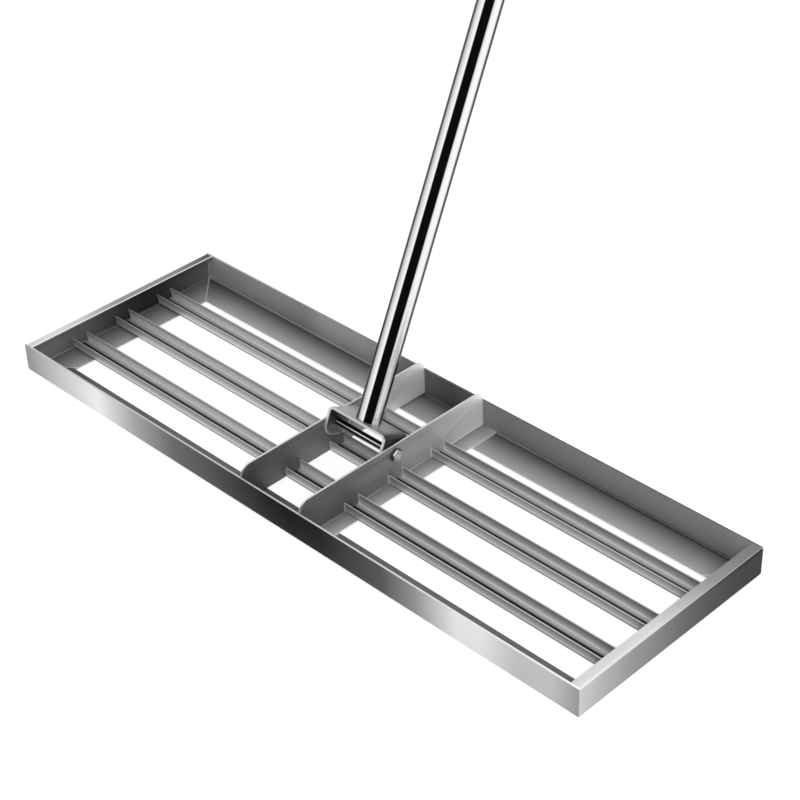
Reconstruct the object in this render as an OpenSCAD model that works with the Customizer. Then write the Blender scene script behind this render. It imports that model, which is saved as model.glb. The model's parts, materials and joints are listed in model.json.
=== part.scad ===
// Lawn leveling rake: a welded sheet metal frame of rails, cross plates and channel slats, with a
// long screwed pole on a yoke that tilts about one bolt.
// X runs along the frame, Y from its near rail to its far rail, and Z up from the ground. The
// origin is on the ground under the middle of the frame.

/* [Frame] */
// Length of the frame, outside
frame_l = 760; // [600:10:1000]
// Depth of the frame, outside
frame_w = 250; // [240:5:320]
// Height of the rails
rail_h = 33; // [32:1:45]
// Sheet thickness of the rails and the cross plates
sheet_t = 2; // [1.5:0.1:2.5]
// Inside radius of the bends in the rails and the cross plates
bend_r = 1.5; // [0.6:0.1:2.5]
// Width of the near rail's bottom flange, outside
near_flange_w = 33; // [25:1:38]
// Width of the far rail's bottom flange, outside
far_flange_w = 37; // [25:1:40]
// Width of the left end rail's bottom flange, outside
left_flange_w = 38; // [25:1:60]
// Width of the right end rail's bottom flange, outside
right_flange_w = 32; // [25:1:60]
// Width of the end rails' top lips, outside
lip_w = 11; // [6:1:20]

/* [Slats] */
// Width of a channel slat
slat_w = 20; // [14:1:26]
// Height of a channel slat
slat_h = 12; // [8:1:13]
// Sheet thickness of a channel slat
slat_t = 1.5; // [1:0.1:2]
// Inside radius of the bends in a channel slat
slat_bend_r = 1; // [0.5:0.1:2]
// Distance from one slat to the next
slat_pitch = 58.5; // [45:0.5:60]
// How far a slat's floor stops short of the end rails, to clear their bends
slat_setback = 3; // [2.6:0.1:8]

/* [Cross plates] */
// Gap between the two cross plates
plate_gap = 79; // [60:1:120]
// Height of the cross plates above the rails
plate_rise = 11; // [8:1:20]
// Radius of the cross plates' top corners
plate_corner_r = 11; // [3:1:20]
// Width of the cross plates' bottom flanges, past the plate
plate_flange_w = 18.5; // [10:0.5:40]
// Gap round a slat where it passes through a cross plate
slot_fit = 0.2; // [0.1:0.05:0.4]

/* [Pivot] */
// Height of the cross plates above the middle of the pivot bolt
pivot_drop = 10; // [9:0.5:12]
// Diameter of the pivot bolt
bolt_d = 8; // [6:0.5:8.5]
// Width across the flats of the bolt's head and of the nut
hex_af = 12; // [12:0.5:17]
// Height of the bolt's head
bolt_head_h = 5; // [4:0.1:7]
// Height of the thin nut
nut_h = 4; // [3:0.1:8]
// How far the bolt stands out of the nut
bolt_past_nut = 1; // [0.5:0.5:10]
// Gap all round the bolt in its holes
bolt_fit = 0.05; // [0.02:0.01:0.1]

/* [Yoke] */
// Width of the strip that the yoke is bent from
yoke_w = 33; // [26:1:36]
// Thickness of that strip
yoke_t = 2.5; // [2:0.1:4]
// Inside radius of the yoke's bends
yoke_bend_r = 3; // [1:0.5:6]
// Height of the yoke's top above the pivot bolt
yoke_rise = 17.5; // [14:0.5:30]
// Reach of the yoke's ears below the pivot bolt
yoke_drop = 13.5; // [9:0.5:14]
// Radius of the ears' bottom corners
ear_corner_r = 12; // [9:0.5:13]
// Gap between the yoke and the left cross plate
yoke_gap = 0.3; // [0.2:0.1:1]
// Extra room between the yoke and the right cross plate, in which the yoke slides along its bolt
yoke_play = 1.4; // [0:0.1:4]

/* [Pole] */
// Angle of the pole from upright as the rake stands
pole_lean = 25; // [0:1:60]
// Outside diameter of the pole
tube_d = 25; // [22:0.5:30]
// Wall of the pole's tubes
tube_t = 0.8; // [0.7:0.1:1.5]
// Length of one of the pole's four tubes
tube_l = 455; // [300:5:600]
// Bevel on the tube ends where two tubes meet
tube_bevel = 0.4; // [0.2:0.1:0.6]
// Length of the plug welded into a tube's end
plug_l = 26; // [24:1:60]
// Diameter of the screw between two tubes
screw_d = 14; // [10:1:18]
// Length of the screw between two tubes
screw_l = 20; // [12:1:22]
// Depth of a screw hole past the end of its screw
screw_end_gap = 1; // [0.5:0.5:3]
// Gap all round a screw in its hole
screw_fit = 0.1; // [0.05:0.05:0.3]
// Gap all round a plug in its tube
plug_fit = 0.05; // [0.02:0.01:0.1]

/* [Grip] */
// Length of the hand grip
grip_l = 132; // [90:1:250]
// Outside diameter of the hand grip's sleeve
grip_d = 31; // [30:0.5:38]
// Distance from one ring of the grip to the next
ring_pitch = 7; // [5:0.5:12]
// How far a ring stands out of the sleeve
ring_proud = 1; // [0.4:0.1:2]
// Smooth length at each end of the grip
grip_end_l = 17; // [8:1:30]
// Gap all round the pole inside the grip
grip_fit = 0.05; // [0.02:0.01:0.1]
// Height of the end cap above the pole
cap_h = 7; // [5:0.5:15]
// How far the end cap stands out past the sleeve
cap_proud = 1; // [0.5:0.1:3]
// Radius of the end cap's rim
cap_rim_r = 4.5; // [1:0.5:5]
// Depth of the end cap's plug in the pole
cap_plug_l = 22; // [10:1:40]

/* [Hidden] */
$fn = 96;

// Size added to a cut so that it runs clear of a face
over = 1;
plate_x = plate_gap / 2;
plate_out_x = plate_x + sheet_t;
plate_top = rail_h + plate_rise;
plate_l = frame_w - 2 * sheet_t;
pivot_z = plate_top - pivot_drop;
slat_l = frame_l - 2 * sheet_t;
hole_d = bolt_d + 2 * bolt_fit;
bolt_l = 2 * plate_out_x + nut_h + bolt_past_nut;
yoke_l = plate_gap - 2 * yoke_gap - yoke_play;
yoke_x = -yoke_play / 2;
bore_d = tube_d - 2 * tube_t;
plug_d = bore_d - 2 * plug_fit;
pole_end = yoke_rise + 4 * tube_l;
ring_room = grip_l - 2 * grip_end_l;
ring_n = floor(ring_room / ring_pitch);

// What is cut off a corner at the origin to round it
module corner_waste(r) {
    difference() {
        translate([-over, -over]) square(r + over);
        translate([r, r]) circle(r);
    }
}

// A rectangle whose corner at the origin is rounded
module corner_block(a, b, r) {
    difference() {
        square([a, b]);
        corner_waste(r);
    }
}

// The outline of a sheet with one bend: its outside corner is at the origin, with one leg along
// each axis, and r is the inside radius
module angle_2d(a, b, t, r) {
    difference() {
        corner_block(a, b, r + t);
        translate([t, t]) corner_block(a, b, r);
    }
}

// The outline of a channel that opens upwards, standing on the origin
module channel_2d(w, h, t, r) {
    for (side = [0, 1])
        mirror([side, 0]) translate([-w / 2, 0]) angle_2d(w / 2, h, t, r);
}

// Stands an outline up in the YZ plane and gives it a length along X
module along_x(l) {
    rotate([90, 0, 90]) translate([0, 0, -l / 2]) linear_extrude(l) children();
}

// Stands an outline up in the XZ plane and gives it a length along Y
module along_y(l) {
    rotate([90, 0, 0]) translate([0, 0, -l / 2]) linear_extrude(l) children();
}

// Where a long rail meets an end rail, seen from above with the frame's corner at the origin:
// a mitre, and then the free edge of the narrower flange
function corner_line(long_w, end_w) =
    let (m = min(long_w, end_w)) [[0, 0], [m, m], [end_w, long_w]];

// Moves a corner's line to a corner of the frame
function to_corner(line, sx, sy) =
    [for (p = line) [sx * (frame_l / 2 - p.x), sy * (frame_w / 2 - p.y)]];

function turned(line) = [for (i = [len(line) - 1 : -1 : 0]) line[i]];

// A long rail at the near side, whose bottom flange is w wide
module long_rail(w) {
    left_line = corner_line(w, left_flange_w);
    right_line = corner_line(w, right_flange_w);
    intersection() {
        translate([0, -frame_w / 2, 0]) along_x(frame_l) angle_2d(w, rail_h, sheet_t, bend_r);
        linear_extrude(rail_h)
            polygon(concat(to_corner(left_line, -1, -1), turned(to_corner(right_line, 1, -1))));
    }
}

// The end rail at the left: a channel on its side, with a bottom flange w wide and a narrow lip
module end_rail(w) {
    near_line = corner_line(near_flange_w, w);
    far_line = corner_line(far_flange_w, w);
    lip_line = [[0, 0], [sheet_t, sheet_t], [lip_w, sheet_t]];
    half_h = rail_h / 2;
    intersection() {
        translate([-frame_l / 2, 0, 0]) along_y(frame_w) union() {
            angle_2d(w, half_h, sheet_t, bend_r);
            translate([0, rail_h]) mirror([0, 1]) angle_2d(lip_w, half_h, sheet_t, bend_r);
        }
        union() {
            linear_extrude(half_h)
                polygon(concat(to_corner(near_line, -1, -1), turned(to_corner(far_line, -1, 1))));
            translate([0, 0, half_h]) linear_extrude(half_h)
                polygon(concat(to_corner(lip_line, -1, -1), turned(to_corner(lip_line, -1, 1))));
        }
    }
}

// A channel slat on the end rails' flanges, with both ends cut back towards the floor
module slat(y) {
    end_x = slat_l / 2;
    translate([0, y, sheet_t]) intersection() {
        along_x(slat_l) channel_2d(slat_w, slat_h, slat_t, slat_bend_r);
        along_y(slat_w) polygon([
            [-end_x, slat_h], [-end_x + slat_setback, 0], [end_x - slat_setback, 0], [end_x, slat_h]
        ]);
    }
}

// The side view of a cross plate: round top corners, and bottom corners cut off over the rails' bends
module plate_2d() {
    half = plate_l / 2;
    cut = bend_r + slot_fit;
    for (side = [0, 1]) mirror([side, 0]) difference() {
        translate([-half, plate_top]) mirror([0, 1])
            corner_block(half, plate_top - sheet_t, plate_corner_r);
        translate([-half, sheet_t]) polygon([[-over, -over], [cut + over, -over], [-over, cut + over]]);
    }
}

// The cross plate at the right, slotted for the slats and drilled for the pivot bolt
module cross_plate() {
    slot_w = slat_w + 2 * slot_fit;
    difference() {
        intersection() {
            translate([plate_x, 0, sheet_t]) along_y(plate_l)
                angle_2d(sheet_t + plate_flange_w, plate_top - sheet_t, sheet_t, bend_r);
            along_x(frame_l) plate_2d();
        }
        for (y = [-slat_pitch, 0, slat_pitch]) translate([0, y, sheet_t]) {
            translate([plate_x, 0, -slot_fit]) along_x(4 * sheet_t)
                channel_2d(slot_w, slat_h + 2 * slot_fit, slat_t + 2 * slot_fit, slat_bend_r - slot_fit);
            translate([plate_out_x, -slot_w / 2, -over])
                cube([plate_flange_w + over, slot_w, slat_h + over]);
        }
        translate([plate_x - over, 0, pivot_z]) rotate([0, 90, 0]) cylinder(d = hole_d, h = sheet_t + 2 * over);
    }
}

// A hexagon along +Z with the corners of its far face turned off
module hexagon(h) {
    corner_d = hex_af / cos(30);
    turned_h = (corner_d - hex_af) / 2 * tan(30);
    intersection() {
        cylinder(d = corner_d, h = h, $fn = 6);
        union() {
            cylinder(d = corner_d + over, h = h - turned_h);
            translate([0, 0, h - turned_h]) cylinder(d1 = corner_d, d2 = hex_af, h = turned_h);
        }
    }
}

// Puts what is built along +Z on the pivot's line, from x and pointing right or left
module on_pivot(x, dir) {
    translate([x, 0, pivot_z]) rotate([0, dir * 90, 0]) children();
}

// Puts what is built round the pivot's line, with the pole along +Z, at the yoke with the pole's lean
module on_lean() {
    translate([yoke_x, 0, pivot_z]) rotate([-pole_lean, 0, 0]) children();
}

module near_rail() {
    color("silver") long_rail(near_flange_w);
}

module far_rail() {
    color("silver") mirror([0, 1, 0]) long_rail(far_flange_w);
}

module left_end_rail() {
    color("lightgrey") end_rail(left_flange_w);
}

module right_end_rail() {
    color("lightgrey") mirror([1, 0, 0]) end_rail(right_flange_w);
}

module near_slat() {
    color("gainsboro") slat(-slat_pitch);
}

module middle_slat() {
    color("gainsboro") slat(0);
}

module far_slat() {
    color("gainsboro") slat(slat_pitch);
}

module left_cross_plate() {
    color("darkgrey") mirror([1, 0, 0]) cross_plate();
}

module right_cross_plate() {
    color("darkgrey") cross_plate();
}

module pivot_bolt() {
    color("lightsteelblue") {
        on_pivot(plate_out_x, 1) hexagon(bolt_head_h);
        on_pivot(plate_out_x, -1) cylinder(d = bolt_d, h = bolt_l);
    }
}

module pivot_nut() {
    color("lightsteelblue") on_pivot(-plate_out_x, -1) difference() {
        hexagon(nut_h);
        translate([0, 0, -over]) cylinder(d = hole_d, h = nut_h + 2 * over);
    }
}

module handle_yoke() {
    half_l = yoke_l / 2;
    ear_h = yoke_rise + yoke_drop;
    color("silver") on_lean() difference() {
        intersection() {
            translate([0, 0, yoke_rise]) along_y(yoke_w)
                mirror([0, 1]) channel_2d(yoke_l, ear_h, yoke_t, yoke_bend_r);
            along_x(yoke_l) union() {
                for (side = [0, 1]) mirror([side, 0])
                    translate([-yoke_w / 2, -yoke_drop]) corner_block(yoke_w / 2, ear_h, ear_corner_r);
            }
        }
        translate([-half_l - over, 0, 0]) rotate([0, 90, 0]) cylinder(d = hole_d, h = yoke_l + 2 * over);
    }
}

// One tube of the pole, counted from 0 at the yoke, with bevels where tubes meet
module pole_tube(i) {
    foot = i == 0 ? 0 : tube_bevel;
    r = tube_d / 2;
    color("gainsboro") on_lean() translate([0, 0, yoke_rise + i * tube_l]) rotate_extrude() polygon([
        [bore_d / 2, 0], [r - foot, 0], [r, foot],
        [r, tube_l - tube_bevel], [r - tube_bevel, tube_l], [bore_d / 2, tube_l]
    ]);
}

// The plug and screw at the top of tube i
module joint_screw(i) {
    color("goldenrod") on_lean() translate([0, 0, yoke_rise + (i + 1) * tube_l]) {
        translate([0, 0, -plug_l]) cylinder(d = plug_d, h = plug_l);
        cylinder(d = screw_d, h = screw_l);
    }
}

// The plug with a screw hole at the foot of the tube above tube i
module joint_socket(i) {
    color("darkgoldenrod") on_lean() translate([0, 0, yoke_rise + (i + 1) * tube_l]) difference() {
        cylinder(d = plug_d, h = plug_l);
        translate([0, 0, -over])
            cylinder(d = screw_d + 2 * screw_fit, h = over + screw_l + screw_end_gap);
    }
}

module lower_tube() {
    pole_tube(0);
}

module second_tube() {
    pole_tube(1);
}

module third_tube() {
    pole_tube(2);
}

module top_tube() {
    pole_tube(3);
}

module first_joint_screw() {
    joint_screw(0);
}

module second_joint_screw() {
    joint_screw(1);
}

module third_joint_screw() {
    joint_screw(2);
}

module first_joint_socket() {
    joint_socket(0);
}

module second_joint_socket() {
    joint_socket(1);
}

module third_joint_socket() {
    joint_socket(2);
}

module hand_grip() {
    first_ring = (grip_l - (ring_n - 1) * ring_pitch) / 2;
    color("#202020") on_lean() translate([0, 0, pole_end - grip_l]) difference() {
        union() {
            cylinder(d = grip_d, h = grip_l);
            for (k = [0 : ring_n - 1]) translate([0, 0, first_ring + k * ring_pitch])
                rotate_extrude() translate([grip_d / 2 - ring_proud, 0]) circle(2 * ring_proud);
        }
        translate([0, 0, -over]) cylinder(d = tube_d + 2 * grip_fit, h = grip_l + 2 * over);
    }
}

module end_cap() {
    cap_r = grip_d / 2 + cap_proud;
    color("#303030") on_lean() translate([0, 0, pole_end]) {
        translate([0, 0, -cap_plug_l]) cylinder(d = plug_d, h = cap_plug_l);
        rotate_extrude() difference() {
            square([cap_r, cap_h]);
            translate([cap_r, cap_h]) rotate(180) corner_waste(cap_rim_r);
        }
    }
}

near_rail();
far_rail();
left_end_rail();
right_end_rail();
near_slat();
middle_slat();
far_slat();
left_cross_plate();
right_cross_plate();
pivot_bolt();
pivot_nut();
handle_yoke();
lower_tube();
second_tube();
third_tube();
top_tube();
first_joint_screw();
second_joint_screw();
third_joint_screw();
first_joint_socket();
second_joint_socket();
third_joint_socket();
hand_grip();
end_cap();
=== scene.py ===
"""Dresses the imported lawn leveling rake: brushed stainless sheet, a polished pole with a ringed
rubber grip, and a plain pale studio seen from the photograph's place."""

import json
import math

import bpy
from bpy.props import FloatProperty, FloatVectorProperty, IntProperty, PointerProperty
from bpy.types import Operator, Panel, PropertyGroup
from mathutils import Matrix, Vector


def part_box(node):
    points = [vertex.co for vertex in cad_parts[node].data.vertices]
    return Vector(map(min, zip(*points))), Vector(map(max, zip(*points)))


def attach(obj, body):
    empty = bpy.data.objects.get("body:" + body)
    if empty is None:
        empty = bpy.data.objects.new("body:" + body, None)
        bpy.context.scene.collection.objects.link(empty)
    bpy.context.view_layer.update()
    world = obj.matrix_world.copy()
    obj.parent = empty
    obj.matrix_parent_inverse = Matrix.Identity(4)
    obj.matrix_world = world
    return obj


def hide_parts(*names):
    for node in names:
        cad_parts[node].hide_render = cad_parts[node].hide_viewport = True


bl_info = {
    "name": "Lawn Leveling Rake Finish",
    "version": (1, 0, 0),
    "blender": (4, 5, 0),
    "location": "View3D > Sidebar > Rake",
    "description": "Makes the rake's sheet, pole and grip, their finishes and the studio",
    "category": "Add Mesh",
}

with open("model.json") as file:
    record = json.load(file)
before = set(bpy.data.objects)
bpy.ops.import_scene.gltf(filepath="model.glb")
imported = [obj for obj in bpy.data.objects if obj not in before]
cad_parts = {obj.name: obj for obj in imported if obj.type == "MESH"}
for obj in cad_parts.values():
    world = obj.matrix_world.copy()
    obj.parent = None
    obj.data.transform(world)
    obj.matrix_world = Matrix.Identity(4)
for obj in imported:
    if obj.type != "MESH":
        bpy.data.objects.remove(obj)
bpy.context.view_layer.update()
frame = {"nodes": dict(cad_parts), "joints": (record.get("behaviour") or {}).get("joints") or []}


# Sizes that come from the frame

def middle(node):
    """The middle of a CAD node's box."""
    low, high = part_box(node)
    return (low + high) / 2


def width(node, axis):
    """A CAD node's size along X, Y or Z, given as 0, 1 or 2."""
    low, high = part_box(node)
    return high[axis] - low[axis]


PIVOT = Vector(frame["joints"][0]["pos_m"])
POLE_RUN = middle("top_tube") - middle("lower_tube")
POLE_DIRECTION = POLE_RUN.normalized()
POLE_LEAN = math.atan2(POLE_DIRECTION.y, POLE_DIRECTION.z)
TUBE_LENGTH = POLE_RUN.length / 3
TUBE_DIAMETER = width("lower_tube", 0)
POLE_FOOT = (middle("lower_tube") - PIVOT).dot(POLE_DIRECTION) - TUBE_LENGTH / 2
POLE_END = POLE_FOOT + 4 * TUBE_LENGTH
GRIP_DIAMETER = width("hand_grip", 0)
RAIL_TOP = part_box("near_rail")[1].z
SHEET = 0.002
LIP_WIDTH = 0.011
YOKE_WIDTH = 0.033
YOKE_DROP = 0.0135
EAR_CORNER = 0.012
HALF_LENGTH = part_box("near_rail")[1].x
HALF_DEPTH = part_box("far_rail")[1].y
SLAT_PITCH = middle("far_slat").y - middle("middle_slat").y
SLAT_WIDTH = width("middle_slat", 1)
PLATE_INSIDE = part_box("right_cross_plate")[0].x
PLATE_OUTSIDE = -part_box("pivot_nut")[1].x
HEAD_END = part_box("pivot_bolt")[1].x


# Settings that a user would change

class RakeSheetSettings(PropertyGroup):
    """Finish of the frame's sheet metal."""

    tint: FloatVectorProperty(
        name="Steel tint", description="Colour that the sheet's greys are given",
        subtype="COLOR", size=3, min=0, max=1, default=(1.0, 0.992, 0.995))
    roughness: FloatProperty(
        name="Roughness", description="How soft the sheet's reflections are",
        subtype="FACTOR", min=0, max=1, default=0.5)
    metal: FloatProperty(
        name="Metal share", description="How much of the sheet's look is reflection rather than satin sheen",
        subtype="FACTOR", min=0, max=1, default=0.5)
    grain_length: FloatProperty(
        name="Grain length", description="Length of a brush stroke",
        unit="LENGTH", min=0.001, default=0.045)
    grain_width: FloatProperty(
        name="Grain width", description="Width of a brush stroke",
        unit="LENGTH", min=0.0001, default=0.0007)
    grain_contrast: FloatProperty(
        name="Grain contrast", description="How much a brush stroke changes the sheet's grey",
        subtype="FACTOR", min=0, max=1, default=0.07)
    edge_break: FloatProperty(
        name="Edge break", description="Width of the bevel on the sheet's cut edges",
        unit="LENGTH", min=0.00005, default=0.00025)


class RakePoleSettings(PropertyGroup):
    """Sizes and finish of the pole's tubes."""

    tint: FloatVectorProperty(
        name="Polish tint", description="Colour of the polished tube",
        subtype="COLOR", size=3, min=0, max=1, default=(1.0, 1.0, 1.0))
    roughness: FloatProperty(
        name="Polish roughness", description="How soft the tube's reflections are",
        subtype="FACTOR", min=0, max=1, default=0.2)
    # The tube's dark band is a painted reflection, and this turns it round the tube
    reflection_band_turn: FloatProperty(
        name="Band direction", description="Where the tube's dark band faces, counted from the near side",
        subtype="ANGLE", default=math.radians(36.4))
    wall: FloatProperty(
        name="Tube wall", description="Thickness of a tube's wall",
        unit="LENGTH", min=0.0003, default=0.0008)
    end_bevel: FloatProperty(
        name="End bevel", description="Bevel on the tube ends where two tubes meet",
        unit="LENGTH", min=0.0001, default=0.0004)
    sides: IntProperty(
        name="Tube sides", description="Number of flats that a round piece is drawn with",
        min=24, default=96)


class RakeGripSettings(PropertyGroup):
    """Sizes and colours of the hand grip and its cap."""

    rubber: FloatVectorProperty(
        name="Rubber colour", description="Colour of the grip",
        subtype="COLOR", size=3, min=0, max=1, default=(0.018, 0.018, 0.019))
    cap: FloatVectorProperty(
        name="Cap colour", description="Colour of the end cap",
        subtype="COLOR", size=3, min=0, max=1, default=(0.035, 0.035, 0.037))
    rings: IntProperty(
        name="Rings", description="Number of rings round the grip", min=1, default=14)
    ring_pitch: FloatProperty(
        name="Ring pitch", description="Distance from one ring to the next",
        unit="LENGTH", min=0.003, default=0.007)
    ring_proud: FloatProperty(
        name="Ring height", description="How far a ring stands out of the grip",
        unit="LENGTH", min=0.0002, default=0.001)


class RakeStageSettings(PropertyGroup):
    """The camera, the lights and the floor."""

    camera_place: FloatVectorProperty(
        name="Camera place", description="Where the camera stands",
        subtype="TRANSLATION", size=3, default=(1.13913, -1.04587, 1.16200))
    camera_aim: FloatVectorProperty(
        name="Camera aim", description="The point in the middle of the picture",
        subtype="TRANSLATION", size=3, default=(-0.01923, 0.06783, 0.033))
    camera_roll: FloatProperty(
        name="Camera roll", description="Turn of the picture about the line of sight",
        subtype="ANGLE", default=math.radians(-2.124))
    camera_lens: FloatProperty(
        name="Lens", description="Focal length in millimetres on a 36 mm wide sensor",
        min=10, default=89.187)
    floor_side: FloatProperty(
        name="Floor side", description="Length of a side of the floor",
        unit="LENGTH", min=2, default=24)
    floor_grey: FloatProperty(
        name="Floor shade", description="How light the floor is", subtype="FACTOR",
        min=0, max=1, default=0.93)
    floor_plain: FloatProperty(
        name="Floor plainness", description="How much of the shadow on the floor is lifted to plain white",
        subtype="FACTOR", min=0, max=1, default=0.75)
    floor_white: FloatProperty(
        name="Floor white", description="Strength of the floor's plain white", min=0, default=1.12)
    world_light: FloatProperty(
        name="World light", description="Strength of the even light from all round", min=0, default=0.7)
    lamp_power: FloatProperty(
        name="Lamp power", description="Power of the softbox in watts", min=0, default=40)
    lamp_place: FloatVectorProperty(
        name="Lamp place", description="Where the softbox hangs",
        subtype="TRANSLATION", size=3, default=(1.9, -0.9, 2.3))
    lamp_size: FloatProperty(
        name="Lamp size", description="Width of the softbox", unit="LENGTH", min=0.1, default=1.8)


class RakeSettings(PropertyGroup):
    """All of the rake's settings."""

    sheet: PointerProperty(type=RakeSheetSettings)
    pole: PointerProperty(type=RakePoleSettings)
    grip: PointerProperty(type=RakeGripSettings)
    stage: PointerProperty(type=RakeStageSettings)


# Materials

def linear(grey):
    """The linear value of a grey that shows as 0 to 255."""
    share = grey / 255
    return share / 12.92 if share <= 0.04045 else ((share + 0.055) / 1.055) ** 2.4


class Value:
    """One number in a material. Sums with it become Math nodes."""

    def __init__(self, finish, socket):
        self.finish = finish
        self.socket = socket

    def math(self, operation, first, second=0.0):
        return self.finish.node("ShaderNodeMath", {"operation": operation}, {0: first, 1: second})

    def __add__(self, other):
        return self.math("ADD", self, other)

    def __radd__(self, other):
        return self.math("ADD", other, self)

    def __sub__(self, other):
        return self.math("SUBTRACT", self, other)

    def __rsub__(self, other):
        return self.math("SUBTRACT", other, self)

    def __mul__(self, other):
        return self.math("MULTIPLY", self, other)

    def __rmul__(self, other):
        return self.math("MULTIPLY", other, self)

    def __truediv__(self, other):
        return self.math("DIVIDE", self, other)

    def __abs__(self):
        return self.math("ABSOLUTE", self)

    def root(self):
        return self.math("SQRT", self)

    def at_least(self, least):
        return self.math("MAXIMUM", self, least)

    def at_most(self, most):
        return self.math("MINIMUM", self, most)

    def past(self, edge, blur):
        """1 where this is greater than the edge and 0 where it is less, with a soft step."""
        return self.finish.node(
            "ShaderNodeMapRange", {"interpolation_type": "SMOOTHSTEP"},
            {"Value": self, "From Min": edge - blur, "From Max": edge + blur}, "Result")

    def before(self, edge, blur):
        """1 where this is less than the edge."""
        return 1 - self.past(edge, blur)

    def wrapped(self, pitch):
        """How far this is from the nearest multiple of the pitch."""
        return self.finish.node(
            "ShaderNodeMath", {"operation": "WRAP"}, {0: self, 1: pitch / 2, 2: -pitch / 2})


class Nodes:
    """The nodes of a material or of the world."""

    def __init__(self, owner):
        owner.use_nodes = True
        self.tree = owner.node_tree

    def node(self, kind, settings=None, inputs=None, output=0):
        """Adds a node with its settings and its sockets' values or links, and gives an output."""
        made = self.tree.nodes.new(kind)
        for key, value in (settings or {}).items():
            if key == "stops":
                ramp = made.color_ramp
                while len(ramp.elements) < len(value):
                    ramp.elements.new(1.0)
                for element, (place, colour) in zip(ramp.elements, value):
                    element.position = place
                    element.color = colour
            else:
                setattr(made, key, value)
        for key, value in (inputs or {}).items():
            self.feed(made.inputs[key], value)
        return Value(self, made.outputs[output])

    def feed(self, socket, value):
        """Links a value to a socket, or sets the socket to a number."""
        if isinstance(value, Value):
            self.tree.links.new(value.socket, socket)
        else:
            socket.default_value = value

    def seen_plainly(self):
        """1 on the rays that see the plain background: from the camera, off metal and through glass."""
        rays = self.node("ShaderNodeLightPath").socket.node.outputs
        camera, glossy, through = [
            Value(self, rays[name]) for name in ("Is Camera Ray", "Is Glossy Ray", "Is Transmission Ray")]
        return camera.at_least(glossy).at_least(through)


class Finish(Nodes):
    """A material with one Principled shader, and the nodes that lead to it."""

    def __init__(self, name, **constants):
        self.material = bpy.data.materials.new(name)
        super().__init__(self.material)
        self.shader = self.tree.nodes["Principled BSDF"]
        self.coordinates = self.node("ShaderNodeTexCoord").socket.node
        for socket, value in constants.items():
            self.shader.inputs[socket.replace("_", " ")].default_value = value

    def place(self):
        """Object coordinates, as a vector."""
        return Value(self, self.coordinates.outputs["Object"])

    def parts(self, vector):
        """A vector's three numbers."""
        split = self.node("ShaderNodeSeparateXYZ", {}, {0: vector})
        outputs = split.socket.node.outputs
        return [Value(self, socket) for socket in outputs]

    def normal(self):
        """The surface's direction on the piece, as a vector."""
        return Value(self, self.coordinates.outputs["Normal"])

    def facing(self):
        """The surface's direction on the piece, as three numbers."""
        return self.parts(self.normal())

    def turn(self, first, second):
        """The angle that two numbers of a vector stand at, in radians."""
        return self.node("ShaderNodeMath", {"operation": "ARCTAN2"}, {0: first, 1: second})

    def scaled(self, vector, factors):
        """A vector with each of its numbers multiplied."""
        return self.node("ShaderNodeVectorMath", {"operation": "MULTIPLY"}, {0: vector, 1: factors})

    def ramp(self, value, stops, lift=1.0):
        """Greys along a value. Each stop is a place and a grey from 0 to 255.

        The lift makes up for the light that a shaded face doesn't get.
        """
        first, last = stops[0][0], stops[-1][0]
        share = (value - first) / (last - first)
        colours = []
        for place, grey in stops:
            shade = min(1, linear(grey) * lift)
            colours.append(((place - first) / (last - first), (shade, shade, shade, 1)))
        return self.node("ShaderNodeValToRGB", {"stops": colours}, {"Fac": share}, "Color")

    def choose(self, base, other, mask):
        """The base where the mask is 0, and the other where it is 1."""
        return base + (other - base) * mask

    def noise(self, vector, scale, detail=2.0, roughness=0.5):
        """A noise about 0.5."""
        return self.node("ShaderNodeTexNoise", {}, {
            "Vector": vector, "Scale": scale, "Detail": detail, "Roughness": roughness}, "Fac")

    def colour(self, tint, tone):
        """Sets the shader's colour to a tint times a grey."""
        shade = self.node("ShaderNodeVectorMath", {"operation": "SCALE"}, {0: tint, "Scale": tone})
        self.feed(self.shader.inputs["Base Color"], shade)

    def bump(self, height, distance):
        """Raises the surface by a value times a distance in metres."""
        normal = self.node(
            "ShaderNodeBump", {}, {"Height": height, "Distance": distance, "Strength": 1.0}, "Normal")
        self.feed(self.shader.inputs["Normal"], normal)


# Painted light and shade along the long walls, from left to right: greys that stand in for reflections and
# shade
NEAR_WALL_PAINTED_LIGHT = [
    (-0.38, 150), (-0.34, 195), (-0.26, 245), (-0.20, 170), (-0.14, 105), (-0.04, 50), (0.00, 15),
    (0.03, 3), (0.07, 20), (0.15, 85), (0.19, 145), (0.24, 225), (0.27, 225), (0.31, 190),
    (0.35, 190), (0.38, 150),
]
FAR_WALL_PAINTED_LIGHT = [
    (-0.38, 130), (-0.34, 115), (-0.22, 105), (-0.19, 120), (-0.13, 120), (-0.05, 80), (0.00, 60),
    (0.035, 75), (0.045, 95), (0.15, 100), (0.34, 100), (0.38, 120),
]
BACK_WALL_PAINTED_LIGHT = [
    (-0.38, 170), (-0.30, 205), (-0.22, 170), (-0.10, 95), (0.00, 70), (0.11, 120), (0.22, 190),
    (0.30, 215), (0.38, 160),
]
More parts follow.
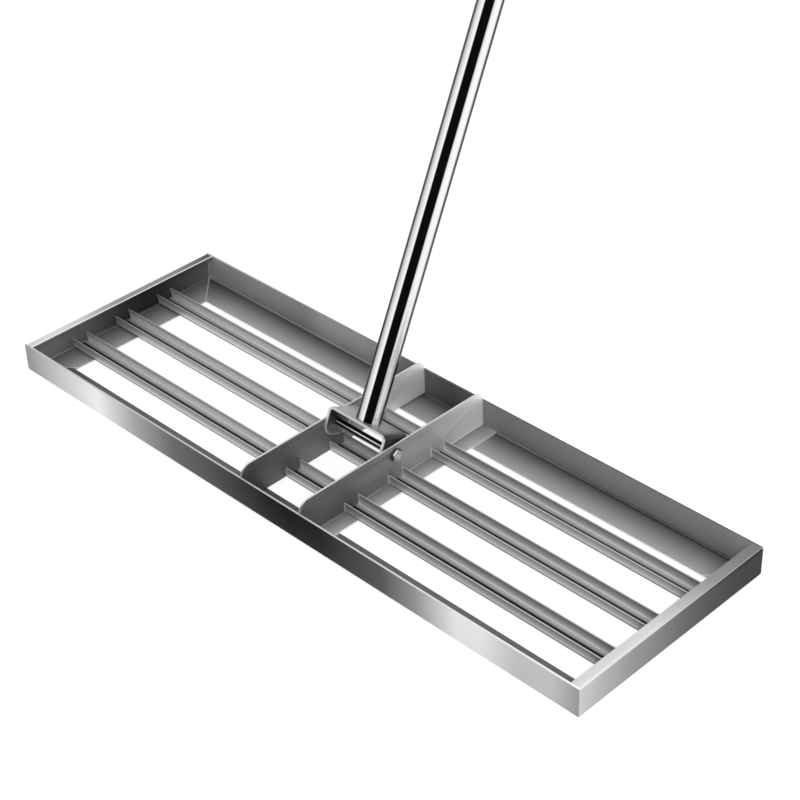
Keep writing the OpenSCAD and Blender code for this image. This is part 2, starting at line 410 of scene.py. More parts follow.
# Painted light and shade along the end rails and the cross plates, from the near side to the far one
LEFT_WALL_PAINTED_LIGHT = [
    (-0.125, 90), (-0.09, 85), (-0.06, 75), (-0.025, 55), (0.01, 35), (0.035, 28), (0.06, 37),
    (0.08, 50), (0.125, 75),
]
LEFT_LIP_PAINTED_LIGHT = [
    (-0.125, 210), (-0.09, 220), (-0.06, 210), (-0.025, 170), (0.00, 150), (0.07, 145), (0.095, 120),
    (0.125, 70),
]
RIGHT_LIP_PAINTED_LIGHT = [(-0.125, 215), (-0.03, 215), (0.02, 185), (0.06, 150), (0.10, 130), (0.125, 125)]
END_WALL_PAINTED_LIGHT = [
    (-0.125, 200), (-0.10, 180), (-0.06, 150), (-0.025, 130), (0.01, 100), (0.045, 74), (0.08, 46),
    (0.10, 28), (0.125, 10),
]
LEFT_PLATE_PAINTED_LIGHT = [
    (-0.125, 58), (-0.11, 58), (-0.085, 68), (-0.06, 75), (0.00, 88), (0.04, 120), (0.08, 150),
    (0.125, 180),
]
RIGHT_PLATE_PAINTED_LIGHT = [
    (-0.125, 72), (-0.10, 72), (-0.06, 77), (-0.04, 83), (-0.015, 95), (0.01, 110), (0.035, 120),
    (0.07, 140), (0.125, 185),
]
LEFT_FACE_PAINTED_LIGHT = [(-0.125, 150), (-0.040, 120), (0.050, 96), (0.125, 120)]
# Painted light and shade up a slat's leg; the outside is painted dark at its foot
SLAT_OUTSIDE_PAINTED_LIGHT = [
    (0.002, 30), (0.0036, 60), (0.0046, 130), (0.0055, 185), (0.007, 185), (0.009, 160),
    (0.012, 140), (0.014, 130),
]
SLAT_INSIDE_PAINTED_LIGHT = [(0.0035, 160), (0.007, 140), (0.010, 120), (0.0125, 100), (0.014, 80)]
# Painted shade across a slat's floor, from its middle: dark down in the channel
SLAT_FLOOR_PAINTED_SHADE = [(0.0, 15), (0.0024, 15), (0.0036, 95), (0.0048, 140), (0.0085, 150)]
# Where a slat leaves the left end rail and the two cross plates, and a painted highlight line crosses its
# legs
SLAT_STARTS = (-HALF_LENGTH + 0.0026, -PLATE_INSIDE + 0.0006, PLATE_OUTSIDE + 0.0006)
# Painted light and shade across a flange, from the outside of its wall to its free edge: darker beside the
# wall, where shade falls
END_FLANGE_PAINTED_LIGHT = [(0.0035, 90), (0.010, 100), (0.020, 115), (0.030, 130), (0.038, 140)]
NEAR_FLANGE_PAINTED_LIGHT = [(0.0035, 66), (0.020, 84), (0.033, 92)]
FAR_FLANGE_PAINTED_LIGHT = [(0.0035, 65), (0.010, 90), (0.018, 110), (0.028, 130), (0.037, 145)]
# The painted highlight on a flange's cut edge, and depths that every rail's and every plate's flange reaches
CUT_EDGE_HIGHLIGHT = 0.95
LEAST_FLANGE = 0.030
LEAST_PLATE_FLANGE = 0.015
# A height above every flange and every slat's floor
ABOVE_FLANGES = 0.012
# How much lighter the rails' flanges are painted, because they lie in shade
FLANGE_LIFT = 1.4
# Half the width of the painted highlight line on the seam between two flanges
SEAM_HIGHLIGHT_WIDTH = 0.0009
# How far a soft step reaches, between two faces of a sheet and beside a line along it
FACE_BLUR = 0.5
LINE_BLUR = 0.0004
# Painted reflection round the bolt's shank: greys in degrees up from the near side
SHANK_PAINTED_REFLECTION = [
    (-180, 120), (-120, 60), (-60, 90), (-26, 215), (-12, 215), (-4, 60), (20, 30), (33, 30),
    (43, 250), (50, 250), (56, 12), (100, 12), (130, 90), (180, 120),
]
# Painted reflection round the polished tube: greys in degrees from the middle of its dark band
TUBE_PAINTED_REFLECTION = [
    (-180, 225), (-158, 215), (-142, 60), (-122, 40), (-112, 200), (-92, 10), (-64, 10),
    (-57, 110), (-48, 200), (-25, 248), (-21.5, 235), (-18.5, 8), (18.5, 8), (21.5, 215), (31, 240),
    (48, 245), (55, 215), (61, 100), (66, 10), (88, 10), (96, 160), (112, 235), (150, 215), (180, 225),
]
# Where the tube's two painted dark outlines lie, from the middle of its painted dark band, and half their
# width
OUTLINE_AT = 79
OUTLINE_HALF = 12


def sheet_finish(name, tone_of, grain_axis):
    """Brushed stainless sheet. tone_of gives its grey, with light and shade painted in, from the place and
    the direction of the surface.
    """
    settings = bpy.context.scene.rake.sheet
    finish = Finish(name, Metallic=settings.metal, Specular_IOR_Level=0.15)
    place = finish.place()
    tone = tone_of(finish, finish.parts(place), finish.facing())
    stroke = [1 / settings.grain_width] * 3
    stroke[grain_axis] = 1 / settings.grain_length
    grain = finish.noise(finish.scaled(place, stroke), scale=1.0, detail=3.0, roughness=0.6)
    mottle = finish.noise(place, scale=22.0, detail=2.0, roughness=0.5)
    tone = tone * (1 + (grain - 0.5) * 2 * settings.grain_contrast + (mottle - 0.5) * 0.05)
    finish.colour(tuple(settings.tint), tone)
    finish.feed(finish.shader.inputs["Roughness"], settings.roughness + (grain - 0.5) * 0.14)
    finish.bump(grain, distance=0.00002)
    return finish.material


def mostly(direction):
    """1 where a surface faces mostly along a direction, and 0 where it faces mostly across it."""
    return direction.past(0.7, 0.2)


def facing_up(facing):
    """1 on flanges, floors and top edges."""
    return mostly(facing[2])


def on_rail_top(at):
    """1 on the top edge of the near rail and the far one."""
    return at[2].past(RAIL_TOP - SHEET, 0.0005)


def with_seam_highlight(finish, flange, at):
    """A flange's tone with a painted highlight line on the seam where two rails' flanges meet in a corner of
    the frame.
    """
    off_seam = abs(abs(at[0]) - abs(at[1]) - (HALF_LENGTH - HALF_DEPTH))
    return finish.choose(flange, linear(175) * FLANGE_LIFT, off_seam.before(SEAM_HIGHLIGHT_WIDTH, LINE_BLUR))


def near_rail_tone(finish, at, facing):
    """The near rail's painted light and shade: its wall's two faces, its flange and a painted highlight on
    its top edge.
    """
    inside = finish.ramp(at[0], FAR_WALL_PAINTED_LIGHT, lift=2.2)
    wall = finish.choose(inside, finish.ramp(at[0], NEAR_WALL_PAINTED_LIGHT), facing[1].before(0, FACE_BLUR))
    flange = finish.ramp(at[1] + HALF_DEPTH, NEAR_FLANGE_PAINTED_LIGHT, FLANGE_LIFT)
    # A painted highlight along the top edge, brightest at the right
    top = finish.ramp(at[0], [(-0.38, 205), (0.0, 195), (0.30, 235), (0.38, 255)])
    flat = finish.choose(flange, top, on_rail_top(at))
    return finish.choose(wall, flat, facing_up(facing))


def far_rail_tone(finish, at, facing):
    """The far rail's painted light and shade, also with painted highlights on its left end and its cut edge
    and painted shade in its fold.
    """
    inside = finish.ramp(at[0], FAR_WALL_PAINTED_LIGHT, lift=2.2)
    wall = finish.choose(inside, finish.ramp(at[0], BACK_WALL_PAINTED_LIGHT), facing[1].past(0, FACE_BLUR))
    from_left = at[0] + HALF_LENGTH
    # A painted highlight line at the left end of the wall
    wall = finish.choose(wall, linear(185) * 1.5, from_left.before(SHEET + 0.0012, LINE_BLUR))
    inward = HALF_DEPTH - at[1]
    # A painted highlight on the flange's cut edge
    wall = finish.choose(wall, CUT_EDGE_HIGHLIGHT, inward.past(LEAST_FLANGE, 0.001))
    flange = with_seam_highlight(finish, finish.ramp(inward, FAR_FLANGE_PAINTED_LIGHT, FLANGE_LIFT), at)
    # A painted highlight along the top edge, lighter at the left
    top = finish.ramp(at[0], [(-0.38, 190), (-0.20, 150), (0.0, 95), (0.38, 105)])
    flat = finish.choose(flange, top, on_rail_top(at))
    # Painted shade in the fold between wall and flange, darker to the right
    fold = at[2].before(0.0042, 0.0006) * inward.before(0.0048, 0.0006)
    shade = 1 - fold * at[0].past(0.14, 0.10) * 0.5
    return finish.choose(wall, flat, facing_up(facing)) * shade


def end_rail_tone(side, lip_stops):
    """The painted light and shade of the left end rail, side -1, or the right one, side 1."""
    def tone(finish, at, facing):
        outward = (facing[0] * side).past(0, FACE_BLUR)
        inside = finish.ramp(at[1], LEFT_WALL_PAINTED_LIGHT, lift=2.5)
        wall = finish.choose(inside, finish.ramp(at[1], END_WALL_PAINTED_LIGHT), outward)
        inward = HALF_LENGTH - at[0] * side
        # A painted highlight on the flange's cut edge
        wall = finish.choose(wall, CUT_EDGE_HIGHLIGHT, inward.past(LEAST_FLANGE, 0.001))
        flange = with_seam_highlight(finish, finish.ramp(inward, END_FLANGE_PAINTED_LIGHT, lift=1.5), at)
        lip = finish.ramp(at[1], lip_stops)
        if side < 0:
            # The left lip's cut edge gets a painted highlight line
            lip = finish.choose(lip, 1.0, inward.past(LIP_WIDTH - 0.0013, LINE_BLUR))
        flat = finish.choose(flange, lip, at[2].past(RAIL_TOP / 2, 0.001))
        # The bend between wall and lip gets a painted highlight line too
        bend = inward.before(0.0010, LINE_BLUR) * at[2].past(RAIL_TOP - 0.0011, LINE_BLUR)
        return finish.choose(finish.choose(wall, flat, facing_up(facing)), 1.0, bend)
    return tone


def slat_tone(finish, at, facing):
    """A slat's painted light and shade: its legs' two faces, its floor and its legs' top edges."""
    across = abs(at[1].wrapped(SLAT_PITCH))
    # The legs are painted lighter in the left bay and the middle one, to make up for the shade that falls
    # there
    lifted_bays = at[0].before(PLATE_INSIDE, 0.01)
    inner = (finish.ramp(at[2], SLAT_INSIDE_PAINTED_LIGHT, lift=2.4) * (1 + lifted_bays * 0.8)).at_most(0.95)
    outer = finish.ramp(at[2], SLAT_OUTSIDE_PAINTED_LIGHT, lift=1.1) * (1 + lifted_bays * 0.35)
    leg = finish.choose(inner, outer, across.past(SLAT_WIDTH / 2 - 0.0008, 0.0003))
    # A painted highlight line across the legs where a slat comes out of a rail or a plate
    for start in SLAT_STARTS:
        leg = finish.choose(leg, 0.9, abs(at[0] - start).before(0.0007, 0.0003))
    # The channel's floor is painted dark as shade
    floor = finish.ramp(across, SLAT_FLOOR_PAINTED_SHADE, lift=1.6)
    # The legs' top edges are painted light as a highlight
    flat = finish.choose(floor, linear(190), at[2].past(ABOVE_FLANGES, 0.0008))
    return finish.choose(leg, flat, facing_up(facing))


def plate_tone(side, right_face_stops):
    """The painted light and shade of the left cross plate, side -1, or the right one, side 1."""
    def tone(finish, at, facing):
        right_face = finish.ramp(at[1], right_face_stops, lift=2.1)
        left_face = finish.ramp(at[1], LEFT_FACE_PAINTED_LIGHT, lift=1.5)
        wall = finish.choose(left_face, right_face, facing[0].past(0, FACE_BLUR))
        # A painted highlight on the flange's cut edge
        wall = finish.choose(wall, CUT_EDGE_HIGHLIGHT, (at[0] * side).past(PLATE_INSIDE + LEAST_PLATE_FLANGE, 0.001))
        # Painted shade across the flange, darker beside the plate
        flange = finish.ramp(at[0] * side, [(0.042, 112), (0.050, 134), (0.060, 150)], lift=1.5)
        # A painted highlight along the plate's top edge
        top = finish.ramp(at[1], [(-0.125, 215), (0.0, 205), (0.125, 215)])
        flat = finish.choose(flange, top, at[2].past(ABOVE_FLANGES, 0.002))
        return finish.choose(wall, flat, facing_up(facing))
    return tone


def upright(finish, vector):
    """A vector in the handle's own frame, in which the pole points straight up."""
    return finish.node(
        "ShaderNodeVectorRotate", {"rotation_type": "X_AXIS"}, {"Vector": vector, "Angle": POLE_LEAN})


def on_handle(finish):
    """Object coordinates counted from the pivot, in the handle's own frame."""
    from_pivot = finish.node(
        "ShaderNodeVectorMath", {"operation": "SUBTRACT"}, {0: finish.place(), 1: tuple(PIVOT)})
    return upright(finish, from_pivot)


def yoke_finish():
    """The polished yoke with painted light and shade: a mid grey top, a painted dark inside and painted
    highlights on its cut edges.
    """
    finish = Finish("yoke_steel", Metallic=0.6, Specular_IOR_Level=0.2)
    place = on_handle(finish)
    at = finish.parts(place)
    facing = finish.parts(upright(finish, finish.normal()))
    # Painted light and shade: the web darkens to the right, and the inside of an ear darkens upwards
    web = finish.ramp(at[0], [(-0.038, 175), (-0.020, 165), (0.018, 150), (0.029, 128), (0.036, 58)])
    inner = finish.ramp(at[2], [(-0.0135, 150), (-0.007, 120), (0.001, 80), (0.009, 52), (0.017, 48)])
    # The ear's rim gets a painted highlight
    rim = finish.ramp(at[2], [(-0.0135, 215), (0.009, 225), (0.0175, 205)])
    beside = (abs(at[1]) - (YOKE_WIDTH / 2 - EAR_CORNER)).at_least(0.0)
    below = (EAR_CORNER - YOKE_DROP - at[2]).at_least(0.0)
    from_corner = (beside * beside + below * below).root()
    # A painted highlight band just inside the ear's outline
    inner = finish.choose(inner, linear(205), from_corner.past(EAR_CORNER - 0.0012, 0.0003))
    ear = finish.choose(rim, inner, mostly(abs(facing[0])))
    tone = finish.choose(ear, web, facing[2].past(0.4, 0.25))
    marks = finish.noise(finish.scaled(place, (60, 1400, 1400)), scale=1.0, detail=2.0, roughness=0.5)
    finish.colour((1.0, 0.995, 0.995), tone * (1 + (marks - 0.5) * 0.10))
    finish.feed(finish.shader.inputs["Roughness"], 0.38 + (marks - 0.5) * 0.08)
    finish.bump(marks, distance=0.00001)
    return finish.material


def polish_finish():
    """Mirror polished stainless tube with a painted reflection: a dark band, light flanks and thin dark
    edges, as one sees on a bright round bar, with fine polishing marks along it."""
    settings = bpy.context.scene.rake.pole
    finish = Finish("polished_tube", Specular_IOR_Level=0.2, Specular_Tint=(0.2, 0.2, 0.2, 1))
    place = on_handle(finish)
    at = finish.parts(place)
    turn = finish.turn(at[0], at[1] * -1)
    degrees = (turn - settings.reflection_band_turn) * math.degrees(1)
    # The painted reflection is laid round the tube by angle
    tone = finish.ramp(degrees.wrapped(360), TUBE_PAINTED_REFLECTION)
    marks = finish.noise(finish.scaled(place, (1500, 1500, 30)), scale=1.0, detail=2.0, roughness=0.5)
    cloud = finish.noise(place, scale=35.0, detail=3.0, roughness=0.55)
    finish.colour(tuple(settings.tint), tone * (1 + (cloud - 0.5) * 0.06 + (marks - 0.5) * 0.06))
    finish.feed(finish.shader.inputs["Roughness"], settings.roughness + (marks - 0.5) * 0.06)
    # No metal in the painted dark outlines, so that no real reflection lightens them
    off_outline = abs(abs(degrees.wrapped(360)) - OUTLINE_AT)
    finish.feed(finish.shader.inputs["Metallic"], off_outline.past(OUTLINE_HALF, 4) * 0.6)
    finish.bump(cloud, distance=0.00002)
    return finish.material


def turned_finish():
    """Turned aluminium, for the plugs and screws inside the pole, with fine rings round the pole."""
    finish = Finish("joint_metal", Metallic=1.0)
    place = on_handle(finish)
    rings = finish.noise(finish.scaled(place, (20, 20, 2600)), scale=1.0, detail=1.0, roughness=0.5)
    speck = finish.noise(place, scale=900.0, detail=2.0, roughness=0.6)
    finish.colour((0.72, 0.72, 0.73), 1 + (rings - 0.5) * 0.16 + (speck - 0.5) * 0.10)
    finish.feed(finish.shader.inputs["Roughness"], 0.35 + (rings - 0.5) * 0.12)
    finish.bump(rings, distance=0.00003)
    return finish.material


def bolt_finish():
    """The pivot bolt and its nut, with painted reflections: bright lines and dark bands along the shank,
    dark facets on the head with one painted highlight on an edge, and a plain light end."""
    finish = Finish("bolt_steel", Metallic=0.6, Specular_IOR_Level=0.2)
    place = finish.place()
    at = finish.parts(place)
    facing = finish.facing()
    turn = finish.turn(facing[2], facing[1] * -1)
    # Painted reflection bands round the shank
    shank = finish.ramp(turn * math.degrees(1), SHANK_PAINTED_REFLECTION)
    # The head's facets are painted darker or lighter by the way they face
    facet = finish.choose(linear(50), linear(75), facing[1].before(0, 0.3))
    # A painted highlight on one upper edge of the head
    lit = facing[2].past(0.4, 0.2) * facing[1].before(0, 0.3) * at[0].past(HEAD_END - 0.0014, 0.0003)
    facet = finish.choose(facet, 0.95, lit)
    side = finish.choose(shank, facet, abs(at[0]).past(PLATE_OUTSIDE - 0.0005, 0.0005))
    tone = finish.choose(side, linear(178), mostly(abs(facing[0])))
    rings = finish.noise(place, scale=900.0, detail=2.0, roughness=0.5)
    finish.colour((1.0, 1.0, 1.0), tone * (1 + (rings - 0.5) * 0.14))
    finish.feed(finish.shader.inputs["Roughness"], 0.34 + (rings - 0.5) * 0.12)
    finish.bump(rings, distance=0.00001)
    return finish.material


def rubber_finish():
    """Black rubber, finely pitted and unevenly dusty."""
    settings = bpy.context.scene.rake.grip
    finish = Finish("grip_rubber", Specular_IOR_Level=0.25)
    place = finish.place()
    pits = finish.noise(place, scale=1700.0, detail=3.0, roughness=0.65)
    dust = finish.noise(place, scale=60.0, detail=4.0, roughness=0.6)
    finish.colour(tuple(settings.rubber), 1 + (pits - 0.5) * 0.6 + (dust - 0.5) * 1.1)
    finish.feed(finish.shader.inputs["Roughness"], 0.66 + (dust - 0.5) * 0.25)
    finish.bump(pits, distance=0.00006)
    return finish.material


def cap_finish():
    """Moulded plastic with a fine grain."""
    settings = bpy.context.scene.rake.grip
    finish = Finish("cap_plastic")
    place = finish.place()
    grain = finish.noise(place, scale=2600.0, detail=2.0, roughness=0.6)
    patch = finish.noise(place, scale=90.0, detail=2.0, roughness=0.5)
    finish.colour(tuple(settings.cap), 1 + (grain - 0.5) * 0.3 + (patch - 0.5) * 0.4)
    finish.feed(finish.shader.inputs["Roughness"], 0.45 + (patch - 0.5) * 0.2)
    finish.bump(grain, distance=0.00004)
    return finish.material


# Pieces

def clear_selection():
    bpy.ops.object.select_all(action="DESELECT")


def take(piece):
    """Selects one piece alone and makes it the active one."""
    clear_selection()
    piece.select_set(True)
    bpy.context.view_layer.objects.active = piece


def add_modifier(piece, kind, **values):
    """Adds a modifier with these values and applies it."""
    take(piece)
    modifier = piece.modifiers.new(kind.title(), kind)
    for key, value in values.items():
        setattr(modifier, key, value)
    bpy.ops.object.modifier_apply(modifier=modifier.name)


def smooth(piece, degrees):
    """Shades a piece smooth except over edges sharper than an angle."""
    take(piece)
    bpy.ops.object.shade_smooth_by_angle(angle=math.radians(degrees))


def hand_over(piece, body, node, material):
    """Gives a finished piece its material, and puts it on its body in a CAD node's place."""
    piece.data.materials.clear()
    piece.data.materials.append(material)
    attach(piece, body)
    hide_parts(node)


def bent_sheet(node, name, edge_break):
    """A CAD node's solid as one clean mesh, with its bends smooth and its cut edges broken."""
    piece = bpy.data.objects.new(name, frame["nodes"][node].data.copy())
    bpy.context.scene.collection.objects.link(piece)
    take(piece)
    if piece.data.has_custom_normals:
        bpy.ops.mesh.customdata_custom_splitnormals_clear()
    bpy.ops.object.mode_set(mode="EDIT")
    bpy.ops.mesh.select_all(action="SELECT")
    bpy.ops.mesh.remove_doubles(threshold=0.000001)
    bpy.ops.mesh.dissolve_limited(angle_limit=math.radians(0.3))
    bpy.ops.object.mode_set(mode="OBJECT")
    add_modifier(
        piece, "BEVEL", width=edge_break, segments=2, limit_method="ANGLE",
        angle_limit=math.radians(50), use_clamp_overlap=True)
    smooth(piece, 35)
    return piece


def turned(name, outline, hollow):
    """A round piece along Z. The outline is a list of radii and heights from its foot to its top.

    A hollow piece's outline goes up outside and comes back inside, and its ring ends where it began.
    """
    sides = bpy.context.scene.rake.pole.sides
    clear_selection()
    radius, height = outline[0]
    bpy.ops.mesh.primitive_circle_add(
        vertices=sides, radius=radius, location=(0, 0, height),
        fill_type="NOTHING" if hollow else "NGON")
    piece = bpy.context.object
    piece.name = name
    bpy.ops.object.mode_set(mode="EDIT")
    bpy.ops.mesh.select_all(action="SELECT")
    stations = outline[1:] + outline[:1] if hollow else outline[1:]
    for next_radius, next_height in stations:
        bpy.ops.mesh.extrude_region_move(
            TRANSFORM_OT_translate={"value": (0, 0, next_height - height)})
        bpy.ops.transform.resize(value=(next_radius / radius, next_radius / radius, 1))
        radius, height = next_radius, next_height
    bpy.ops.mesh.select_all(action="SELECT")
    bpy.ops.mesh.remove_doubles(threshold=0.000001)
    bpy.ops.mesh.normals_make_consistent(inside=False)
    bpy.ops.object.mode_set(mode="OBJECT")
    return piece


def settle(piece, place, turn):
    """Puts a piece in its place and writes the place into its mesh."""
    take(piece)
    piece.location = place
    piece.rotation_euler = turn
    bpy.ops.object.transform_apply(location=True, rotation=True, scale=True)


def stand_on_pole(piece, distance):
    """Puts a piece that was made along Z on the pole, at a distance from the pivot."""
    take(piece)
    bpy.ops.object.transform_apply(location=True, rotation=True, scale=True)
    settle(piece, PIVOT + POLE_DIRECTION * distance, (-POLE_LEAN, 0, 0))


class RAKE_OT_rails(Operator):
    """Makes the four rails of the frame."""

    bl_idname = "rake.rails"
    bl_label = "Make the rails"

    def execute(self, context):
        edge = context.scene.rake.sheet.edge_break
        rails = [
            ("near_rail", near_rail_tone, 0),
            ("far_rail", far_rail_tone, 0),
            ("left_end_rail", end_rail_tone(-1, LEFT_LIP_PAINTED_LIGHT), 1),
            ("right_end_rail", end_rail_tone(1, RIGHT_LIP_PAINTED_LIGHT), 1),
        ]
        for node, tone, grain_axis in rails:
            material = sheet_finish(node + "_steel", tone, grain_axis)
            hand_over(bent_sheet(node, node + "_sheet", edge), "frame", node, material)
        return {"FINISHED"}


class RAKE_OT_slats(Operator):
    """Makes the three channel slats."""

    bl_idname = "rake.slats"
    bl_label = "Make the slats"

    def execute(self, context):
        edge = context.scene.rake.sheet.edge_break
        material = sheet_finish("slat_steel", slat_tone, 0)
        for node in ("near_slat", "middle_slat", "far_slat"):
            hand_over(bent_sheet(node, node + "_sheet", edge), "frame", node, material)
        return {"FINISHED"}


class RAKE_OT_cross_plates(Operator):
    """Makes the two cross plates that carry the pivot bolt."""

    bl_idname = "rake.cross_plates"
    bl_label = "Make the cross plates"

    def execute(self, context):
        edge = context.scene.rake.sheet.edge_break
        for node, tone in (
            ("left_cross_plate", plate_tone(-1, LEFT_PLATE_PAINTED_LIGHT)),
            ("right_cross_plate", plate_tone(1, RIGHT_PLATE_PAINTED_LIGHT)),
        ):
            material = sheet_finish(node + "_steel", tone, 1)
            hand_over(bent_sheet(node, node + "_sheet", edge), "frame", node, material)
        return {"FINISHED"}


class RAKE_OT_pivot(Operator):
    """Makes the pivot bolt and its nut."""

    bl_idname = "rake.pivot"
    bl_label = "Make the pivot bolt and nut"

    def execute(self, context):
        edge = context.scene.rake.sheet.edge_break
        steel = bolt_finish()
        for node in ("pivot_bolt", "pivot_nut"):
            hand_over(bent_sheet(node, node + "_turned", edge), "frame", node, steel)
        return {"FINISHED"}


class RAKE_OT_yoke(Operator):
    """Makes the bent yoke that the pole stands on."""

    bl_idname = "rake.yoke"
    bl_label = "Make the yoke"

    def execute(self, context):
        edge = context.scene.rake.sheet.edge_break
        piece = bent_sheet("handle_yoke", "yoke_strip", edge)
        hand_over(piece, "handle", "handle_yoke", yoke_finish())
        return {"FINISHED"}


class RAKE_OT_pole(Operator):
    """Makes the four tubes of the pole, and finishes the plugs and screws inside them."""

    bl_idname = "rake.pole"
    bl_label = "Make the pole"

    def execute(self, context):
        settings = context.scene.rake.pole
        outer = TUBE_DIAMETER / 2
        inner = outer - settings.wall
        material = polish_finish()
        for number, node in enumerate(("lower_tube", "second_tube", "third_tube", "top_tube")):
            # The lowest tube stands on the yoke with a sharp foot
            foot = settings.end_bevel if number else settings.end_bevel / 10
            top = settings.end_bevel
            outline = [
                (inner, 0), (outer - foot, 0), (outer, foot), (outer, TUBE_LENGTH - top),
                (outer - top, TUBE_LENGTH), (inner, TUBE_LENGTH),
            ]
            tube = turned(node + "_polished", outline, hollow=True)
            stand_on_pole(tube, POLE_FOOT + number * TUBE_LENGTH)
            smooth(tube, 30)
            hand_over(tube, "handle", node, material)
        metal = turned_finish()
        for order in ("first", "second", "third"):
            for kind in ("screw", "socket"):
                node = frame["nodes"][f"{order}_joint_{kind}"]
                node.data.materials.clear()
                node.data.materials.append(metal)
        return {"FINISHED"}


class RAKE_OT_grip(Operator):
    """Makes the ringed hand grip and its end cap."""

    bl_idname = "rake.grip"
    bl_label = "Make the grip"

    def execute(self, context):
        settings = context.scene.rake.grip
        length = self.along_pole("hand_grip")
        bore = TUBE_DIAMETER / 2 + 0.00005
        sleeve = GRIP_DIAMETER / 2 - settings.ring_proud
        rim = 0.0012
        outline = [(bore, 0), (sleeve - rim, 0), (sleeve, rim)]
        first = (length - (settings.rings - 1) * settings.ring_pitch) / 2
        reach = math.sqrt(3) * settings.ring_proud
        # Each ring is an arc of a circle whose radius is twice the ring's height
        for ring in range(settings.rings):
            centre = first + ring * settings.ring_pitch
            for step in range(9):
                share = -1 + step / 4
                swell = settings.ring_proud * (math.sqrt(4 - 3 * share * share) - 1)
                outline.append((sleeve + swell, centre + reach * share))
        outline += [(sleeve, length - rim), (sleeve - rim, length), (bore, length)]
        grip = turned("ringed_grip", outline, hollow=True)
        stand_on_pole(grip, POLE_END - length)
        smooth(grip, 40)
        hand_over(grip, "handle", "hand_grip", rubber_finish())
        self.make_cap(width("end_cap", 0) / 2)
        return {"FINISHED"}

    def along_pole(self, node):
        """A round node's length along the pole."""
        heights = [(v.co - PIVOT).dot(POLE_DIRECTION) for v in frame["nodes"][node].data.vertices]
        return max(heights) - min(heights)

    def make_cap(self, radius):
        """The end cap: a plug in the tube and a head with a round rim and a shallow dish."""
        heights = [
            (v.co - PIVOT).dot(POLE_DIRECTION) - POLE_END for v in frame["nodes"]["end_cap"].data.vertices
        ]
        plug = -min(heights)
        head = max(heights)
        rim = 0.0045
        bevel = 0.0004
        dish_wall = 0.0008
        dish_depth = 0.0012
        settings = bpy.context.scene.rake.pole
        plug_radius = TUBE_DIAMETER / 2 - settings.wall - 0.00005
        outline = [(plug_radius, -plug), (plug_radius, 0), (radius - bevel, 0), (radius, bevel)]
        for step in range(9):
            angle = math.radians(90 * step / 8)
            outline.append((radius - rim + rim * math.cos(angle), head - rim + rim * math.sin(angle)))
        outline.append((radius * 0.62, head))
        outline.append((radius * 0.56, head - dish_wall))
        outline.append((radius * 0.04, head - dish_depth))
        cap = turned("grip_end_cap", outline, hollow=False)
        take(cap)
        bpy.ops.object.mode_set(mode="EDIT")
        bpy.ops.mesh.select_all(action="DESELECT")
        bpy.ops.mesh.select_non_manifold()
        bpy.ops.mesh.edge_face_add()
        bpy.ops.mesh.select_all(action="SELECT")
        bpy.ops.mesh.normals_make_consistent(inside=False)
        bpy.ops.object.mode_set(mode="OBJECT")
        stand_on_pole(cap, POLE_END)
        smooth(cap, 40)
        hand_over(cap, "handle", "end_cap", cap_finish())


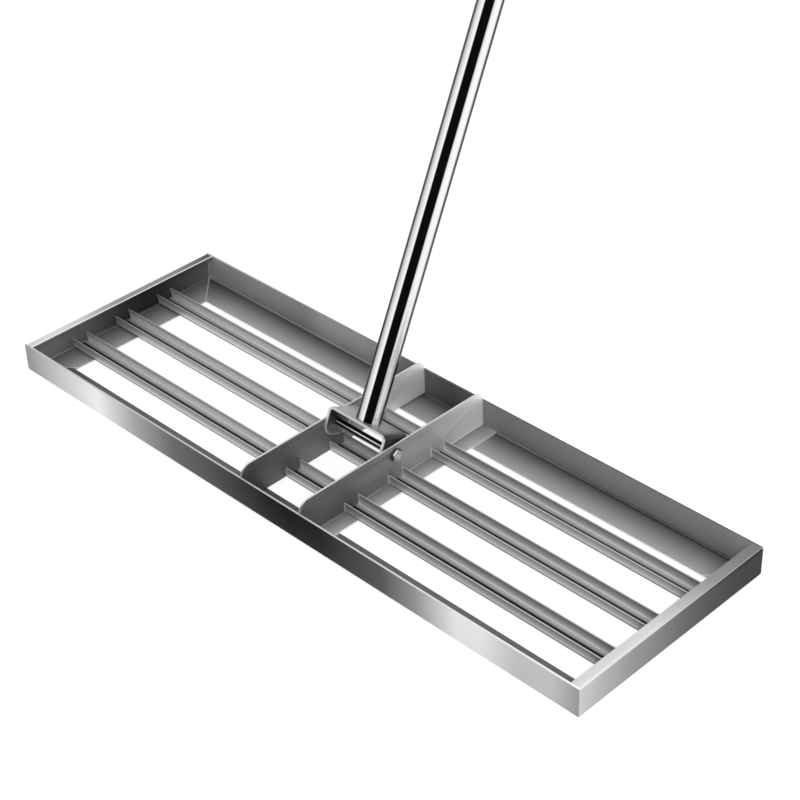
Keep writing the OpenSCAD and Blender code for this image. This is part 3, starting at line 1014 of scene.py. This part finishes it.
class RAKE_OT_stage(Operator):
    """Makes the floor, the light and the camera."""

    bl_idname = "rake.stage"
    bl_label = "Make the stage"

    def execute(self, context):
        settings = context.scene.rake.stage
        self.make_floor(settings)
        self.make_world(settings)
        self.make_lamps(settings)
        self.make_camera(settings)
        context.scene.view_settings.view_transform = "Standard"
        return {"FINISHED"}

    def make_floor(self, settings):
        clear_selection()
        below_frame = -0.0002
        bpy.ops.mesh.primitive_plane_add(size=settings.floor_side, location=(0, 0, below_frame))
        floor = bpy.context.object
        floor.name = "studio_floor"
        material = bpy.data.materials.new("studio_floor_paint")
        nodes = Nodes(material)
        nodes.tree.nodes.remove(nodes.tree.nodes["Principled BSDF"])
        paint = nodes.node("ShaderNodeBsdfDiffuse", {}, {"Color": (settings.floor_grey,) * 3 + (1,)})
        white = nodes.node("ShaderNodeEmission", {}, {"Strength": settings.floor_white})
        plain = nodes.seen_plainly() * settings.floor_plain
        mixed = nodes.node("ShaderNodeMixShader", {}, {"Fac": plain, 1: paint, 2: white})
        nodes.feed(nodes.tree.nodes["Material Output"].inputs["Surface"], mixed)
        floor.data.materials.append(material)

    def make_world(self, settings):
        world = bpy.data.worlds.new("studio")
        bpy.context.scene.world = world
        nodes = Nodes(world)
        background = nodes.tree.nodes["Background"]
        nodes.feed(background.inputs["Color"], (1, 1, 1, 1))
        strength = settings.world_light + nodes.seen_plainly() * (1 - settings.world_light)
        nodes.feed(background.inputs["Strength"], strength)

    def make_lamps(self, settings):
        light = bpy.data.lights.new("softbox", "AREA")
        light.shape = "DISK"
        light.size = settings.lamp_size
        light.energy = settings.lamp_power
        lamp = bpy.data.objects.new("softbox", light)
        bpy.context.scene.collection.objects.link(lamp)
        lamp.location = settings.lamp_place
        lamp.rotation_euler = (Vector((0, 0, 0)) - lamp.location).to_track_quat("-Z", "Y").to_euler()

    def make_camera(self, settings):
        camera = bpy.data.objects.new("camera", bpy.data.cameras.new("camera"))
        bpy.context.scene.collection.objects.link(camera)
        camera.data.lens = settings.camera_lens
        camera.data.sensor_width = 36
        place = Vector(settings.camera_place)
        sight = (Vector(settings.camera_aim) - place).to_track_quat("-Z", "Y").to_matrix().to_4x4()
        roll = Matrix.Rotation(settings.camera_roll, 4, "Z")
        camera.matrix_world = Matrix.Translation(place) @ sight @ roll
        bpy.context.scene.camera = camera


OPERATORS = (
    RAKE_OT_rails, RAKE_OT_slats, RAKE_OT_cross_plates, RAKE_OT_pivot, RAKE_OT_yoke, RAKE_OT_pole,
    RAKE_OT_grip, RAKE_OT_stage,
)


class RAKE_PT_pieces(Panel):
    """The rake's pieces and settings in the sidebar."""

    bl_label = "Lawn leveling rake"
    bl_idname = "RAKE_PT_pieces"
    bl_space_type = "VIEW_3D"
    bl_region_type = "UI"
    bl_category = "Rake"

    def draw(self, context):
        layout = self.layout
        for operator in OPERATORS:
            layout.operator(operator.bl_idname)
        for group in ("sheet", "pole", "grip", "stage"):
            settings = getattr(context.scene.rake, group)
            box = layout.box()
            box.label(text=group.title())
            for name in settings.__annotations__:
                box.prop(settings, name)


CLASSES = (
    RakeSheetSettings, RakePoleSettings, RakeGripSettings, RakeStageSettings, RakeSettings,
    *OPERATORS, RAKE_PT_pieces,
)


def register():
    for made in CLASSES:
        bpy.utils.register_class(made)
    bpy.types.Scene.rake = PointerProperty(type=RakeSettings)


def unregister():
    del bpy.types.Scene.rake
    for made in reversed(CLASSES):
        bpy.utils.unregister_class(made)


def main():
    register()
    bpy.ops.rake.rails()
    bpy.ops.rake.slats()
    bpy.ops.rake.cross_plates()
    bpy.ops.rake.pivot()
    bpy.ops.rake.yoke()
    bpy.ops.rake.pole()
    bpy.ops.rake.grip()
    bpy.ops.rake.stage()


if __name__ == "__main__":
    main()
